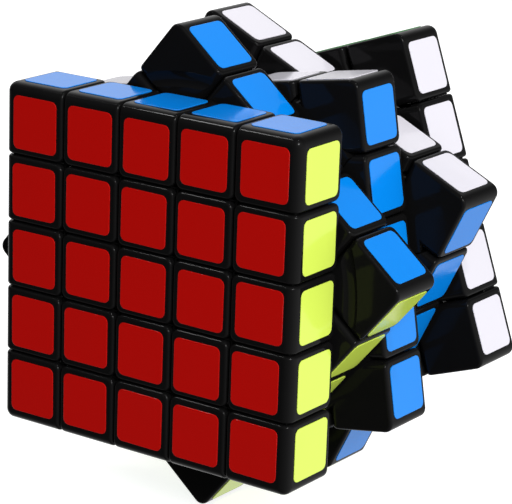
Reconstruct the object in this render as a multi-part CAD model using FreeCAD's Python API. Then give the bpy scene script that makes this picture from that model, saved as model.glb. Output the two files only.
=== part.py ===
import FreeCAD, Part
import math
import os

# A five-layer twisty puzzle cube. Its 98 cubies hold each other by tapered claws that reach
# in towards a ball in the middle. Origin at the ball's centre, +Z up, the front face at -Y.
# The five layers across the Y axis are stored part-turned about that axis.

# Driving dimensions, in millimetres and degrees
pitch = 12.3                # one cubie to the next
rise = 0.85                 # outer faces stand this far beyond two and a half pitches
gap = 0.30                  # clearance between neighbouring pieces
edge_round = 1.8            # rounding of the cube's own edges
seam_round = 0.6            # rounding of a cubie's face along its seams
corner_round = 1.4          # rounding where four cubies meet
fold_inset = 1.2            # the outer track's fold, below two and a half pitches
outer_tilt = 46.0           # slope of the track under the outer layers
inner_fold_inset = 2.5      # the inner track's fold, below two and a half pitches
inner_tilt = 17.5           # slope of the track under the second layers
sticker_border = 1.3        # bare plastic between a sticker and its seam
sticker_corner = 1.1        # corner radius of a sticker
sticker_thick = 0.13
groove_pitches = 2.79       # radius in pitches of the shallow groove in a wing edge's outer side
groove_width = 2.8
groove_depth = 0.35
ball_pitches = 1.45         # radius of the ball in pitches: the claws end here, still broad
shell_wall = 1.8            # wall of the two ball shells
arm_radius = 3.2            # arms of the spider inside the ball
hub_radius = 6.0
screw_radius = 1.4
screw_depth = 9.0           # thread length inside an arm
head_radius = 2.3
head_height = 1.8
slot_width = 0.6            # cross recess in a screw head
slot_depth = 0.9
slot_border = 0.5           # from the end of the recess to the edge of the head
shelf_wall = 2.4            # floor of a fixed centre, under its washer
washer_thick = 0.4
wire_radius = 0.25          # spring wire
spring_coils = 5
bore_clearance = 0.3        # round the spring and the screw head
fit_clearance = 0.05        # round a screw's thread, a cover's stem and an arm in its hole
seat_clearance = 0.1        # under a washer, on the turning centre's shelf
cover_height = 2.4          # clip-on cover of a fixed centre
stem_length = 0.7
stem_wall = 0.8

# Resting turn of each layer about +Y, from the front one to the back one
layers = {
    "front": (-2, 0.0),
    "inner_front": (-1, 39.6),
    "middle": (0, 80.2),
    "inner_back": (1, 115.0),
    "back": (2, 160.3),
}
side_colours = {
    "blue": (0, 0, 1),
    "yellow": (1, 0, 0),
    "green": (0, 0, -1),
    "white": (-1, 0, 0),
}

half = 2.5 * pitch + rise                   # centre to a bare outer face
play = gap / 2
ball_radius = ball_pitches * pitch
root_radius = 2.75 * pitch                  # the claws grow out of the blocks within this
sticker_half = pitch / 2 - sticker_border
screw_hole = screw_radius + fit_clearance
spring_radius = head_radius - wire_radius
centre_bore = head_radius + bore_clearance
shelf = ball_radius + play + shelf_wall     # height of a fixed centre's inner floor
cover_seat = half - cover_height
head_top = cover_seat - stem_length - bore_clearance
head_seat = head_top - head_height
washer_base = shelf + seat_clearance

origin = FreeCAD.Vector(0, 0, 0)
axis_x = FreeCAD.Vector(1, 0, 0)
axis_y = FreeCAD.Vector(0, 1, 0)
axis_z = FreeCAD.Vector(0, 0, 1)
axes = (axis_x, axis_y, axis_z)
far = 4 * half


def quarter_turns():
    """The 24 ways to turn a cube onto itself."""
    found = []
    for about_z in range(4):
        for about_y in range(4):
            for about_x in range(4):
                turn = FreeCAD.Rotation(90 * about_z, 90 * about_y, 90 * about_x)
                if not any(turn.isSame(other, 0.001) for other in found):
                    found.append(turn)
    return found


turns = quarter_turns()


def turn_between(start, target):
    """A turn that carries one place in the cube to another."""
    for turn in turns:
        if (turn.multVec(FreeCAD.Vector(*start)) - FreeCAD.Vector(*target)).Length < 0.01:
            return turn
    raise ValueError("no turn joins these places")


def placed(shape, turn):
    copy = shape.copy()
    copy.Placement = FreeCAD.Placement(origin, turn).multiply(shape.Placement)
    return copy


def beyond(level, fold, tilt, offset):
    """Everything outside a track: flat at its level, and a cone that falls inwards from the fold.
    The track turns about X, and offset moves it outwards."""
    slope = math.tan(math.radians(tilt))
    stretch = math.sqrt(1 + slope * slope)
    bend = fold - offset * (stretch - 1) / slope
    apex = level - fold * slope + offset * stretch
    outline = [(apex, 0), (level + offset, bend), (level + offset, far), (far, far), (far, 0)]
    points = [FreeCAD.Vector(along, out, 0) for along, out in outline]
    face = Part.Face(Part.makePolygon(points + points[:1]))
    return face.revolve(origin, axis_x, 360)


def outer_region(offset):
    return beyond(1.5 * pitch, 2.5 * pitch - fold_inset, outer_tilt, offset)


def inner_region(offset):
    return beyond(0.5 * pitch, 2.5 * pitch - inner_fold_inset, inner_tilt, offset)


regions = {
    "over_outer": outer_region(play),
    "under_outer": outer_region(-play),
    "over_inner": inner_region(play),
    "under_inner": inner_region(-play),
}


def region(name, axis):
    turn = FreeCAD.Rotation(axis_x, axis)
    return placed(regions[name], turn)


def faces_out(face, places):
    """Whether a face of a cubie belongs to the outside of the cube."""
    u0, u1, v0, v1 = face.ParameterRange
    normal = face.normalAt((u0 + u1) / 2, (v0 + v1) / 2)
    return any(place == 2 and normal.dot(axis) > 0.3 for place, axis in zip(places, axes))


def edges_between(shape, places, out_count, along_only):
    """Edges that part the wanted number of outside faces from the rest."""
    chosen = []
    for edge in shape.Edges:
        if edge.Length < 0.01:
            continue
        around = shape.ancestorsOfType(edge, Part.Face)
        if sum(faces_out(face, places) for face in around) != out_count:
            continue
        if along_only:
            run = (edge.Vertexes[-1].Point - edge.Vertexes[0].Point).normalize()
            if not any(place == 2 and abs(run.dot(axis)) > 0.99 for place, axis in zip(places, axes)):
                continue
        chosen.append(edge)
    return chosen


def rounded_block(places):
    """The part of a cubie that shows, with its edges rounded."""
    centre_piece = sum(place == 2 for place in places) == 1
    low = []
    high = []
    for place in places:
        if place == 2:
            low.append(pitch if centre_piece else 1.5 * pitch + play)
            high.append(half)
        else:
            low.append((place - 0.5) * pitch + play)
            high.append((place + 0.5) * pitch - play)
    sizes = [top - bottom for bottom, top in zip(low, high)]
    block = Part.makeBox(*sizes, FreeCAD.Vector(*low))
    block = block.makeFillet(corner_round, edges_between(block, places, 0, True))
    cube_edges = edges_between(block, places, 2, False)
    if cube_edges:
        block = block.makeFillet(edge_round, cube_edges)
    return block.makeFillet(seam_round, edges_between(block, places, 1, False))


def groove():
    """A ring about Z that sinks into the side of a wing edge next to the outer layer."""
    tube_radius = (groove_width ** 2 / 4 + groove_depth ** 2) / (2 * groove_depth)
    level = 1.5 * pitch - play - groove_depth + tube_radius
    return Part.makeTorus(groove_pitches * pitch, tube_radius, FreeCAD.Vector(0, 0, level), axis_z)


def cubie(places):
    """One cubie: its rounded block, and its claw between the tracks and the ball."""
    centre_piece = sum(place == 2 for place in places) == 1
    reach = half - seam_round - gap if centre_piece else root_radius
    body = rounded_block(places).fuse(Part.makeSphere(reach))
    body = body.cut(Part.makeSphere(ball_radius + play))
    for place, axis in zip(places, axes):
        if place == 2:
            body = body.common(region("over_outer", axis))
        if place == 1:
            body = body.common(region("over_inner", axis))
            body = body.cut(region("under_outer", axis))
        if place == 0:
            body = body.cut(region("under_inner", axis))
            body = body.cut(region("under_inner", -axis))
    if places == kinds["wing_edge"]:
        body = body.cut(groove())
    body = body.removeSplitter()
    return body.Solids[0]


def rod(radius, bottom, top):
    """A round bar along X."""
    return Part.makeCylinder(radius, top - bottom, FreeCAD.Vector(bottom, 0, 0), axis_x)


def slab(bottom, top):
    """A wide flat block across X."""
    return Part.makeBox(top - bottom, 2 * half, 2 * half, FreeCAD.Vector(bottom, -half, -half))


def fixed_centre(full):
    body = full.cut(slab(cover_seat, far))
    body = body.cut(rod(screw_hole + bore_clearance, 0, far))
    return body.cut(rod(centre_bore, shelf, far)).Solids[0]


def centre_cover(full):
    plate = full.common(slab(cover_seat, far))
    stem_radius = centre_bore - fit_clearance
    stem = rod(stem_radius, cover_seat - stem_length, cover_seat)
    stem = stem.cut(rod(stem_radius - stem_wall, 0, cover_seat))
    return plate.fuse(stem).removeSplitter().Solids[0]


def screw():
    shank = rod(screw_radius, ball_radius - play - screw_depth, head_seat)
    head = rod(head_radius, head_seat, head_top)
    body = shank.fuse(head)
    span = 2 * (head_radius - slot_border)
    for wide, deep in ((slot_width, span), (span, slot_width)):
        corner = FreeCAD.Vector(head_top - slot_depth, -wide / 2, -deep / 2)
        body = body.cut(Part.makeBox(slot_depth, wide, deep, corner))
    return body.removeSplitter().Solids[0]


def washer():
    ring = rod(head_radius, washer_base, washer_base + washer_thick)
    return ring.cut(rod(screw_hole, 0, far))


def spring():
    """A coil spring between the washer and the screw head."""
    bottom = washer_base + washer_thick + wire_radius + fit_clearance
    top = head_seat - wire_radius - fit_clearance
    helix = Part.makeHelix((top - bottom) / spring_coils, top - bottom, spring_radius)
    start = FreeCAD.Vector(spring_radius, 0, 0)
    section = Part.Wire(Part.makeCircle(wire_radius, start, axis_y))
    coil = Part.Wire(helix.Edges).makePipeShell([section], True, True)
    coil.Placement = FreeCAD.Placement(FreeCAD.Vector(bottom, 0, 0), FreeCAD.Rotation(axis_z, axis_x))
    return coil


def spider():
    """The hub and six arms that the screws hold on to."""
    arm_end = ball_radius - play
    body = Part.makeSphere(hub_radius)
    for axis in (axis_x, axis_y, axis_z):
        arms = Part.makeCylinder(arm_radius, 2 * arm_end, axis * -arm_end, axis)
        body = body.fuse(arms)
    body = body.common(Part.makeSphere(arm_end))
    for side in face_sides:
        hole = placed(rod(screw_hole, arm_end - screw_depth, far), turn_between((1, 0, 0), side))
        body = body.cut(hole)
    return body.removeSplitter().Solids[0]


def ball_shell(direction):
    """Half of the ball that the claws slide over, front or back of the middle plane."""
    outer = ball_radius - play
    ball = Part.makeSphere(outer).cut(Part.makeSphere(outer - shell_wall))
    corner = FreeCAD.Vector(-far, 0 if direction > 0 else -far, -far)
    shell = ball.common(Part.makeBox(2 * far, far, 2 * far, corner))
    for axis in (axis_x, axis_y, axis_z):
        hole_radius = arm_radius + fit_clearance
        shell = shell.cut(Part.makeCylinder(hole_radius, 2 * far, axis * -far, axis))
    return shell.Solids[0]


def sticker(across, up):
    """A sticker on the +X face."""
    corner = FreeCAD.Vector(half, across * pitch - sticker_half, up * pitch - sticker_half)
    plate = Part.makeBox(sticker_thick, 2 * sticker_half, 2 * sticker_half, corner)
    uprights = [edge for edge in plate.Edges if abs(edge.Length - sticker_thick) < 0.001]
    return plate.makeFillet(sticker_corner, uprights)


face_sides = [(1, 0, 0), (-1, 0, 0), (0, 1, 0), (0, -1, 0), (0, 0, 1), (0, 0, -1)]
kinds = {
    "corner": (2, 2, 2),
    "wing_edge": (2, 2, 1),
    "mid_edge": (2, 2, 0),
    "x_centre": (2, 1, 1),
    "t_centre": (2, 1, 0),
    "fixed_centre": (2, 0, 0),
}
nodes = {}


def add(name, shape):
    nodes.setdefault(name, []).append(shape)


def kind_at(place):
    sorted_place = tuple(sorted((abs(step) for step in place), reverse=True))
    return next(kind for kind, pattern in kinds.items() if pattern == sorted_place)


def node_name(layer, kind, place):
    """The corners are a node each, and every other kind is one node in a layer."""
    if kind == "corner":
        upright = "top" if place[2] > 0 else "bottom"
        across = "right" if place[0] > 0 else "left"
        return f"{layer}_corner_{upright}_{across}"
    if kind == "fixed_centre" and layer in ("front", "back"):
        return f"{layer}_fixed_centre"
    return f"{layer}_{kind}s"


def add_cubies():
    shapes = {kind: cubie(pattern) for kind, pattern in kinds.items()}
    whole_centre = shapes["fixed_centre"]
    shapes["fixed_centre"] = fixed_centre(whole_centre)
    cover = centre_cover(whole_centre)
    steps = range(-2, 3)
    for layer, (level, angle) in layers.items():
        layer_turn = FreeCAD.Rotation(axis_y, angle)
        for across in steps:
            for up in steps:
                place = (across, level, up)
                if max(abs(step) for step in place) < 2:
                    continue
                kind = kind_at(place)
                turn = layer_turn.multiply(turn_between(kinds[kind], place))
                name = node_name(layer, kind, place)
                add(name, placed(shapes[kind], turn))
                if kind == "fixed_centre":
                    add(name.replace("fixed_centre", "centre_cover"), placed(cover, turn))


def add_stickers():
    for layer, (level, angle) in layers.items():
        layer_turn = FreeCAD.Rotation(axis_y, angle)
        for colour, side in side_colours.items():
            side_turn = FreeCAD.Rotation(axis_x, FreeCAD.Vector(*side))
            if side == (-1, 0, 0):
                side_turn = FreeCAD.Rotation(axis_y, 180)
            for up in range(-2, 3):
                one = sticker(level, up)
                add(f"{layer}_stickers_{colour}", placed(one, layer_turn.multiply(side_turn)))
    for layer, colour, side_angle in (("front", "red", -90), ("back", "orange", 90)):
        layer_turn = FreeCAD.Rotation(axis_y, layers[layer][1])
        side_turn = FreeCAD.Rotation(axis_z, side_angle)
        for across in range(-2, 3):
            for up in range(-2, 3):
                one = sticker(across, up)
                add(f"{layer}_stickers_{colour}", placed(one, layer_turn.multiply(side_turn)))


def add_core():
    """The spider, the ball and the six sprung screws, which stay with the middle layer."""
    middle_turn = FreeCAD.Rotation(axis_y, layers["middle"][1])
    add("core_spider", placed(spider(), middle_turn))
    add("ball_shell_front", placed(ball_shell(-1), middle_turn))
    add("ball_shell_back", placed(ball_shell(1), middle_turn))
    fasteners = {"screws": screw(), "washers": washer(), "springs": spring()}
    for side in face_sides:
        turn = middle_turn.multiply(turn_between((1, 0, 0), side))
        for name, shape in fasteners.items():
            add(name, placed(shape, turn))


add_cubies()
add_stickers()
add_core()

os.makedirs("parts", exist_ok=True)
for name, shapes in nodes.items():
    whole = shapes[0] if len(shapes) == 1 else Part.makeCompound(shapes)
    whole.exportStep(f"parts/{name}.step")
    state = "valid" if whole.isValid() else "INVALID"
    print(name, len(shapes), "solids", round(whole.Volume, 1), "mm3", state)
print(len(nodes), "nodes")
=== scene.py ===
import bpy
import bmesh
import math
import random
from mathutils import Matrix, Vector


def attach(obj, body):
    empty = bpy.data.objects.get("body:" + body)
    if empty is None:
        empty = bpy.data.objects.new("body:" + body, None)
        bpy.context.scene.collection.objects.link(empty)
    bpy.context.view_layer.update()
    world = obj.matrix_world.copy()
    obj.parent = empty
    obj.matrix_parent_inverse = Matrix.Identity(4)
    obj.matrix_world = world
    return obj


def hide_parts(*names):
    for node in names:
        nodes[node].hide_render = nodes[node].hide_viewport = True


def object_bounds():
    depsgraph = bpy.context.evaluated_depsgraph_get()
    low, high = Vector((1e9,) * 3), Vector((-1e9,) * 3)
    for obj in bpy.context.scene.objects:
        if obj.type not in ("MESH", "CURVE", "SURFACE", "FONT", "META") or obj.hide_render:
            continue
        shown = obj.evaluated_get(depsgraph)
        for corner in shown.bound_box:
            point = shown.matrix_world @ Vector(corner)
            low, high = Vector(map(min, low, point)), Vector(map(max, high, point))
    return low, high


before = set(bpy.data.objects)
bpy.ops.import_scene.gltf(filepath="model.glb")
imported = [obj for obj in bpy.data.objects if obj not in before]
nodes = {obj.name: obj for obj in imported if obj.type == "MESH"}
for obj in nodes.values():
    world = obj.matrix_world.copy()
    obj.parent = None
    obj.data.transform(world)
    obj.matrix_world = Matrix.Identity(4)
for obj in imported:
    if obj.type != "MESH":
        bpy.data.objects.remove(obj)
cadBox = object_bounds()
scene = bpy.context.scene
print("frame loaded:", len(nodes), "nodes")


# small helpers for the node materials
def newMaterial(name):
    material = bpy.data.materials.new(name)
    material.use_nodes = True
    tree = material.node_tree
    tree.nodes.clear()
    shader = tree.nodes.new("ShaderNodeBsdfPrincipled")
    output = tree.nodes.new("ShaderNodeOutputMaterial")
    tree.links.new(shader.outputs["BSDF"], output.inputs["Surface"])
    place = tree.nodes.new("ShaderNodeTexCoord").outputs["Object"]
    return material, tree, shader, place


def addNoise(tree, place, scale, detail=2.0, roughness=0.5):
    noise = tree.nodes.new("ShaderNodeTexNoise")
    noise.inputs["Scale"].default_value = scale
    noise.inputs["Detail"].default_value = detail
    noise.inputs["Roughness"].default_value = roughness
    tree.links.new(place, noise.inputs["Vector"])
    return noise.outputs["Fac"]


def stretched(tree, place, turn, scale):
    mapping = tree.nodes.new("ShaderNodeMapping")
    mapping.inputs["Rotation"].default_value = turn
    mapping.inputs["Scale"].default_value = scale
    tree.links.new(place, mapping.inputs["Vector"])
    return mapping.outputs["Vector"]


def remap(tree, value, low, high, fromLow=0.0, fromHigh=1.0):
    mapRange = tree.nodes.new("ShaderNodeMapRange")
    mapRange.inputs["From Min"].default_value = fromLow
    mapRange.inputs["From Max"].default_value = fromHigh
    mapRange.inputs["To Min"].default_value = low
    mapRange.inputs["To Max"].default_value = high
    tree.links.new(value, mapRange.inputs["Value"])
    return mapRange.outputs["Result"]


# one Math node, whose inputs are each a socket or a fixed number
def compute(tree, operation, *inputs):
    maths = tree.nodes.new("ShaderNodeMath")
    maths.operation = operation
    for socket, value in zip(maths.inputs, inputs):
        if isinstance(value, bpy.types.NodeSocket):
            tree.links.new(value, socket)
        else:
            socket.default_value = value
    return maths.outputs[0]


def blendColours(tree, share, first, second):
    ramp = tree.nodes.new("ShaderNodeValToRGB")
    ramp.color_ramp.elements[0].color = (*first, 1)
    ramp.color_ramp.elements[1].color = (*second, 1)
    tree.links.new(share, ramp.inputs["Fac"])
    return ramp.outputs["Color"]


def addBump(tree, height, distance, strength, shader, under=None):
    bump = tree.nodes.new("ShaderNodeBump")
    bump.inputs["Strength"].default_value = strength
    bump.inputs["Distance"].default_value = distance
    tree.links.new(height, bump.inputs["Height"])
    if under:
        tree.links.new(under, bump.inputs["Normal"])
    tree.links.new(bump.outputs["Normal"], shader.inputs["Normal"])
    return bump.outputs["Normal"]


# turn a finished bmesh into a piece that sits at the origin
def addPiece(name, bm, finish):
    mesh = bpy.data.meshes.new(name)
    bm.to_mesh(mesh)
    bm.free()
    mesh.materials.append(finish)
    piece = bpy.data.objects.new(name, mesh)
    scene.collection.objects.link(piece)
    return piece


# polished black moulded plastic of the cubies
blackPlastic = {
    "dark": (0.0044, 0.0044, 0.0046),
    "light": (0.0066, 0.0064, 0.0065),
    "roughness": (0.06, 0.11),
    "flowScale": 70,          # moulding flow, about 14 mm
    "flowRange": (0.35, 0.65),
    "peelScale": 380,         # orange peel, under 3 mm
    "peelDepth": 0.00004,
    "peelStrength": 0.35,
    "hairScale": 900,         # faint rubbed hairlines, by turn and stretch
    "hairs": [((0.4, 0.2, 0.9), (1, 0.05, 1)), ((0.1, 0.8, 0.3), (0.05, 1, 1))],
    "hairRange": (0.62, 0.8),
    "hairRoughness": 0.06,
    "hairDepth": 0.000006,
    "hairStrength": 0.3,
    "ior": 1.46,
    "gloss": 0.09,
}


def makeBlackPlastic(parts):
    material, tree, shader, place = newMaterial("blackPlastic")
    flow = addNoise(tree, place, parts["flowScale"], 4, 0.6)
    colour = blendColours(tree, flow, parts["dark"], parts["light"])
    tree.links.new(colour, shader.inputs["Base Color"])
    scratches = []
    for turn, scale in parts["hairs"]:
        scratches.append(addNoise(tree, stretched(tree, place, turn, scale), parts["hairScale"], 1))
    hairs = compute(tree, "MAXIMUM", *scratches)
    polish = remap(tree, flow, *parts["roughness"], *parts["flowRange"])
    scuffs = remap(tree, hairs, 0, parts["hairRoughness"], *parts["hairRange"])
    tree.links.new(compute(tree, "ADD", polish, scuffs), shader.inputs["Roughness"])
    orangePeel = addNoise(tree, place, parts["peelScale"], 2)
    peel = addBump(tree, orangePeel, parts["peelDepth"], parts["peelStrength"], shader)
    addBump(tree, hairs, parts["hairDepth"], parts["hairStrength"], shader, peel)
    shader.inputs["IOR"].default_value = parts["ior"]
    shader.inputs["Specular IOR Level"].default_value = parts["gloss"]
    return material


# smooth coloured vinyl of the stickers: each colour, and the shade it drifts to
vinylFinish = {
    "colours": {
        "red": ((0.555, 0.0024, 0.0010), (0.520, 0.0032, 0.0017)),
        "orange": ((0.86, 0.150, 0.004), (0.80, 0.130, 0.004)),
        "blue": ((0.0012, 0.258, 0.875), (0.0016, 0.238, 0.820)),
        "yellow": ((0.735, 0.930, 0.118), (0.690, 0.890, 0.105)),
        "green": ((0.006, 0.245, 0.022), (0.006, 0.215, 0.020)),
        "white": ((0.80, 0.78, 0.85), (0.77, 0.75, 0.82)),
    },
    "roughness": (0.10, 0.17),
    "driftScale": 55,
    "waveScale": 110,         # slow waves where the film was pressed down, about 9 mm
    "waveDepth": 0.00012,
    "waveStrength": 0.5,
    "grainScale": 1500,       # the film's own fine grain
    "grainRange": (0.3, 0.7),
    "grainDepth": 0.000004,
    "grainStrength": 0.4,
    "ior": 1.46,
}


def makeVinyl(colour, parts):
    material, tree, shader, place = newMaterial(colour + "Vinyl")
    drift = addNoise(tree, place, parts["driftScale"], 3, 0.55)
    tree.links.new(blendColours(tree, drift, *parts["colours"][colour]), shader.inputs["Base Color"])
    grain = addNoise(tree, place, parts["grainScale"], 2, 0.6)
    matt = remap(tree, grain, *parts["roughness"], *parts["grainRange"])
    tree.links.new(matt, shader.inputs["Roughness"])
    waves = addNoise(tree, place, parts["waveScale"], 1)
    wave = addBump(tree, waves, parts["waveDepth"], parts["waveStrength"], shader)
    addBump(tree, grain, parts["grainDepth"], parts["grainStrength"], shader, wave)
    shader.inputs["IOR"].default_value = parts["ior"]
    return material


# plain moulded nylon of the hub and the ball
nylon = {
    "dark": (0.60, 0.60, 0.57),
    "light": (0.72, 0.72, 0.69),
    "roughness": (0.38, 0.52),
    "mottleScale": 180,
    "grainScale": 1400,
    "grainDepth": 0.00002,
    "grainStrength": 0.4,
}


def makeNylon(parts):
    material, tree, shader, place = newMaterial("nylon")
    mottle = addNoise(tree, place, parts["mottleScale"], 4, 0.6)
    colour = blendColours(tree, mottle, parts["dark"], parts["light"])
    tree.links.new(colour, shader.inputs["Base Color"])
    tree.links.new(remap(tree, mottle, *parts["roughness"]), shader.inputs["Roughness"])
    grain = addNoise(tree, place, parts["grainScale"], 3)
    addBump(tree, grain, parts["grainDepth"], parts["grainStrength"], shader)
    return material


# zinc-plated steel of the screws, springs and washers
steel = {
    "dark": (0.42, 0.42, 0.44),
    "light": (0.66, 0.66, 0.67),
    "roughness": (0.22, 0.38),
    "spangleScale": 900,
    "turningScale": 5000,
    "turningDepth": 0.000006,
    "turningStrength": 0.4,
}


def makeSteel(parts):
    material, tree, shader, place = newMaterial("zincSteel")
    spangle = addNoise(tree, place, parts["spangleScale"], 4, 0.7)
    colour = blendColours(tree, spangle, parts["dark"], parts["light"])
    tree.links.new(colour, shader.inputs["Base Color"])
    tree.links.new(remap(tree, spangle, *parts["roughness"]), shader.inputs["Roughness"])
    turning = addNoise(tree, place, parts["turningScale"], 2)
    addBump(tree, turning, parts["turningDepth"], parts["turningStrength"], shader)
    shader.inputs["Metallic"].default_value = 1
    return material


plasticFinish = makeBlackPlastic(blackPlastic)
nylonFinish = makeNylon(nylon)
steelFinish = makeSteel(steel)
for name, node in nodes.items():
    if name in ("screws", "washers", "springs"):
        node.data.materials[0] = steelFinish
    elif name.startswith(("core_", "ball_")):
        node.data.materials[0] = nylonFinish
    else:
        node.data.materials[0] = plasticFinish
print("frame finishes done")


# the stickers: each is cut from film, so its rim is a little rolled and it was pressed on by hand
sticker = {
    "cornerRadius": 0.0011,
    "cornerSteps": 4,
    "rimRoll": 0.00006,
    "rimSteps": 2,
    "joinWithin": 0.000001,   # corners of the plates' own triangles nearer than this are one
    "sharpEdge": 1.0,         # and their rims are the edges that turn by more than this, in radians
    "bearing": (0.2, 0.9, 0.1),    # a plate's first axis is the one nearest to this
    "sortDigits": 4,          # plates are taken in order of place, to a tenth of a millimetre
    "slip": 0.09,             # how far a sticker may sit off its place, in millimetres
    "twist": 0.5,             # and how far it may be turned, in degrees
    "seed": 5,
    # the front face, column by column from its lower left: right and up, in millimetres
    "redSlips": [
        (-0.08, -0.03), (-0.08, -0.02), (0.00, -0.04), (-0.18, -0.07), (-0.07, -0.02),
        (-0.13, 0.04), (-0.15, 0.13), (0.03, 0.05), (-0.15, 0.02), (0.00, 0.07),
        (-0.06, -0.11), (-0.18, -0.06), (0.02, -0.14), (-0.18, -0.11), (0.04, -0.10),
        (-0.12, -0.13), (-0.28, -0.17), (0.11, -0.17), (-0.20, -0.18), (0.01, -0.02),
        (-0.12, 0.11), (-0.30, 0.03), (0.10, 0.13), (-0.08, 0.04), (0.22, 0.15),
    ],
}


# where each plate of a sticker node lies: its frame, and its half width, half height and half thickness
def platesOf(node, parts):
    bm = bmesh.new()
    bm.from_mesh(node.data)
    bmesh.ops.remove_doubles(bm, verts=bm.verts, dist=parts["joinWithin"])
    bm.verts.index_update()
    waiting = {vertex.index: vertex for vertex in bm.verts}
    found = []
    while waiting:
        front = [waiting.popitem()[1]]
        group = list(front)
        while front:
            vertex = front.pop()
            for edge in vertex.link_edges:
                other = edge.other_vert(vertex)
                if other.index in waiting:
                    front.append(waiting.pop(other.index))
                    group.append(other)
        points = [vertex.co.copy() for vertex in group]
        edges = [edge for vertex in group for edge in vertex.link_edges]
        middle = sum(points, Vector()) / len(points)
        outer = [face for vertex in group for face in vertex.link_faces if face.normal.dot(middle) > 0]
        out = max(outer, key=lambda face: face.calc_area()).normal
        rims = [edge for edge in edges if edge.calc_face_angle(0) > parts["sharpEdge"]]
        side = max(rims, key=lambda edge: edge.calc_length())
        run = (side.verts[0].co - side.verts[1].co).normalized()
        sides = (run, -run, out.cross(run), -out.cross(run))
        across = max(sides, key=lambda axis: axis.dot(Vector(parts["bearing"])))
        up = out.cross(across)
        reaches = [point - middle for point in points]
        sizes = [max(abs(reach.dot(axis)) for reach in reaches) for axis in (across, up, out)]
        place = Matrix((across, up, out)).transposed().to_4x4()
        place.translation = middle
        found.append((place, sizes))
    bm.free()
    digits = parts["sortDigits"]
    found.sort(key=lambda item: tuple(round(value, digits) for value in item[0].translation))
    return found


# add one flat plate with rounded corners to a bmesh; its outer rim is rolled over
def addPlate(target, place, sizes, parts, slip, twist):
    bm = bmesh.new()
    bmesh.ops.create_cube(bm, size=2)
    bmesh.ops.scale(bm, verts=bm.verts, vec=sizes)
    uprights = [edge for edge in bm.edges if edge.verts[0].co.z * edge.verts[1].co.z < 0]
    bmesh.ops.bevel(bm, geom=uprights, affect="EDGES", offset=parts["cornerRadius"],
                    segments=parts["cornerSteps"], profile=0.5, material=-1)
    rim = [edge for edge in bm.edges if all(vertex.co.z > 0 for vertex in edge.verts)]
    bmesh.ops.bevel(bm, geom=rim, affect="EDGES", offset=parts["rimRoll"],
                    segments=parts["rimSteps"], profile=0.5, material=-1)
    turn = Matrix.Rotation(math.radians(twist), 4, "Z")
    bmesh.ops.transform(bm, matrix=Matrix.Translation(slip) @ place @ turn, verts=bm.verts)
    plate = bpy.data.meshes.new("plate")
    bm.to_mesh(plate)
    bm.free()
    target.from_mesh(plate)
    bpy.data.meshes.remove(plate)


chance = random.Random(sticker["seed"])
finishes = {colour: makeVinyl(colour, vinylFinish) for colour in vinylFinish["colours"]}
for name, node in sorted(nodes.items()):
    if "_stickers_" not in name:
        continue
    layer, colour = name.split("_stickers_")
    bm = bmesh.new()
    for number, (place, sizes) in enumerate(platesOf(node, sticker)):
        across, up = (place.col[axis].to_3d() for axis in range(2))
        slip = (across * chance.uniform(-1, 1) + up * chance.uniform(-1, 1)) * sticker["slip"]
        if colour == "red":
            right, rise = sticker["redSlips"][number]
            slip = Vector((right, 0, rise))
        addPlate(bm, place, sizes, sticker, slip / 1000, chance.uniform(-1, 1) * sticker["twist"])
    film = addPiece(name + "_film", bm, finishes[colour])
    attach(film, layer + "_layer")
    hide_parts(name)
print("stickers done")

# the thin webs that close an outer layer's seams behind its face, so that no light shows through
seamWeb = {
    "pitch": 0.0123,
    "thickness": 0.00026,
    "panels": [               # from and to along the seam, from and to in depth
        (0.0189, 0.0306, 0.0266, 0.0306),
        (0.0, 0.0189, 0.02975, 0.0306),
    ],
    "cornerRadius": 0.0004,
    "cornerSteps": 3,
    "rimRoll": 0.00002,
    "rimSteps": 2,
    "layers": {"front": (-1, 0.0), "back": (1, 160.3)},    # side of the cube, and resting turn
}


def makeSeamWebs(layer, parts):
    side, rest = parts["layers"][layer]
    upright = Matrix.Rotation(math.radians(90), 4, "Y")
    bm = bmesh.new()
    for quarter in range(4):
        turn = Matrix.Rotation(math.radians(rest + 90 * quarter), 4, "Y")
        for seam in (-1.5, -0.5, 0.5, 1.5):
            for start, end, inner, outer in parts["panels"]:
                sizes = ((end - start) / 2, (outer - inner) / 2, parts["thickness"] / 2)
                middle = (seam * parts["pitch"], side * (inner + outer) / 2, (start + end) / 2)
                addPlate(bm, turn @ Matrix.Translation(middle) @ upright, sizes, parts, Vector(), 0)
    webs = addPiece(layer + "_seam_webs", bm, plasticFinish)
    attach(webs, layer + "_layer")


for layer in seamWeb["layers"]:
    makeSeamWebs(layer, seamWeb)
print("seam webs done")

# the camera
view = {
    "location": (0.25014, -0.36018, 0.12701),
    "degrees": (73.755, -1.962, 35.156),
    "lens": 174.8,
    "sensor": 36,
    "farthest": 50,
}
camera = bpy.data.objects.new("camera", bpy.data.cameras.new("camera"))
scene.collection.objects.link(camera)
camera.location = view["location"]
camera.rotation_euler = [math.radians(angle) for angle in view["degrees"]]
camera.data.lens = view["lens"]
camera.data.sensor_width = view["sensor"]
camera.data.clip_end = view["farthest"]
scene.camera = camera

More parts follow.
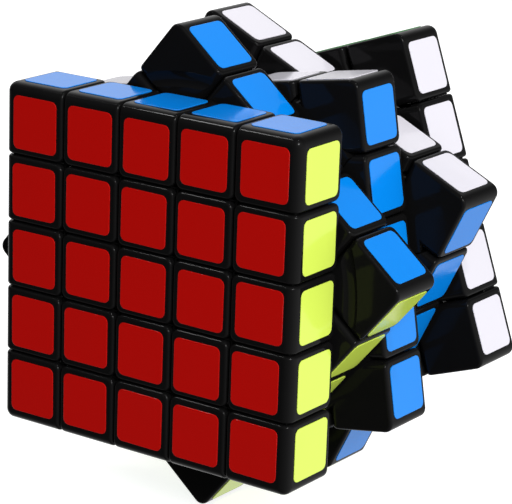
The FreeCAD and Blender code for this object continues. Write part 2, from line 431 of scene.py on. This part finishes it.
# a plain pale floor, which leaves the soft light under the object alone
ground = {
    "halfWidth": 3,
    "paper": (0.5, 0.5, 0.5, 1),
    "roughness": 0.9,
    "glow": (1, 1, 1, 1),
    "glowStrength": 0.85,
}
bm = bmesh.new()
bmesh.ops.create_grid(bm, x_segments=1, y_segments=1, size=ground["halfWidth"])
bmesh.ops.translate(bm, verts=bm.verts, vec=(0, 0, cadBox[0].z))
paper, _, shader, _ = newMaterial("palePaper")
shader.inputs["Base Color"].default_value = ground["paper"]
shader.inputs["Roughness"].default_value = ground["roughness"]
shader.inputs["Emission Color"].default_value = ground["glow"]
shader.inputs["Emission Strength"].default_value = ground["glowStrength"]
floor = addPiece("floor", bm, paper)
for rays in ("diffuse", "glossy", "transmission", "shadow"):
    setattr(floor, "visible_" + rays, False)
print("camera and floor done")

# soft studio light: an even base, and wide soft lobes by azimuth, elevation, tightness and strength
studio = {
    "colour": (1, 1, 1, 1),
    "base": 0.025,
    "lobes": [
        (122, 30, 6, 1.3),       # the key's soft spill, on the right
        (72, -24, 3, 1.2),       # bounce from the right
        (155, -38, 6, 0.3),      # bounce from the front
        (5, -42, 4, 0.3),        # bounce from behind
        (-62, -42, 4, 0.8),      # bounce from the left
        (-32, 14, 5, 0.36),      # backdrop
        (-50, 46, 8, 2.0),       # high on the left, behind
        (-150, 40, 16, 0.22),    # strip over the front
    ],
    "softboxes": {               # azimuth, elevation, distance, width, power, share of gloss
        "key": (127, 30, 1.3, 0.40, 9.8, 0.3),
        "glint": (112, 64, 1.2, 0.06, 2.0, 70.0),
        "strip": (-118, 52, 1.2, 0.10, 1.2, 9.0),
    },
}


# the direction of an azimuth, clockwise from the back, and an elevation
def aimed(azimuth, elevation):
    turn, rise = math.radians(azimuth), math.radians(elevation)
    return math.cos(rise) * math.sin(turn), math.cos(rise) * math.cos(turn), math.sin(rise)


world = bpy.data.worlds.new("studio")
scene.world = world
world.use_nodes = True
tree = world.node_tree
toward = tree.nodes.new("ShaderNodeTexCoord").outputs["Object"]
total = 0
for azimuth, elevation, tightness, strength in studio["lobes"]:
    dot = tree.nodes.new("ShaderNodeVectorMath")
    dot.operation = "DOT_PRODUCT"
    dot.inputs[1].default_value = aimed(azimuth, elevation)
    tree.links.new(toward, dot.inputs[0])
    facing = compute(tree, "MAXIMUM", dot.outputs["Value"], 0)
    falloff = compute(tree, "POWER", facing, tightness)
    total = compute(tree, "MULTIPLY_ADD", falloff, strength, total or studio["base"])
for name, (azimuth, elevation, distance, width, power, gloss) in studio["softboxes"].items():
    data = bpy.data.lights.new(name, "AREA")
    data.shape = "DISK"
    data.size = width
    data.energy = power
    data.specular_factor = gloss
    light = bpy.data.objects.new(name, data)
    scene.collection.objects.link(light)
    light.location = Vector(aimed(azimuth, elevation)) * distance
    light.rotation_euler = light.location.to_track_quat("Z", "Y").to_euler()
background = tree.nodes["Background"]
background.inputs["Color"].default_value = studio["colour"]
tree.links.new(total, background.inputs["Strength"])
scene.view_settings.view_transform = "Standard"
print("studio done")
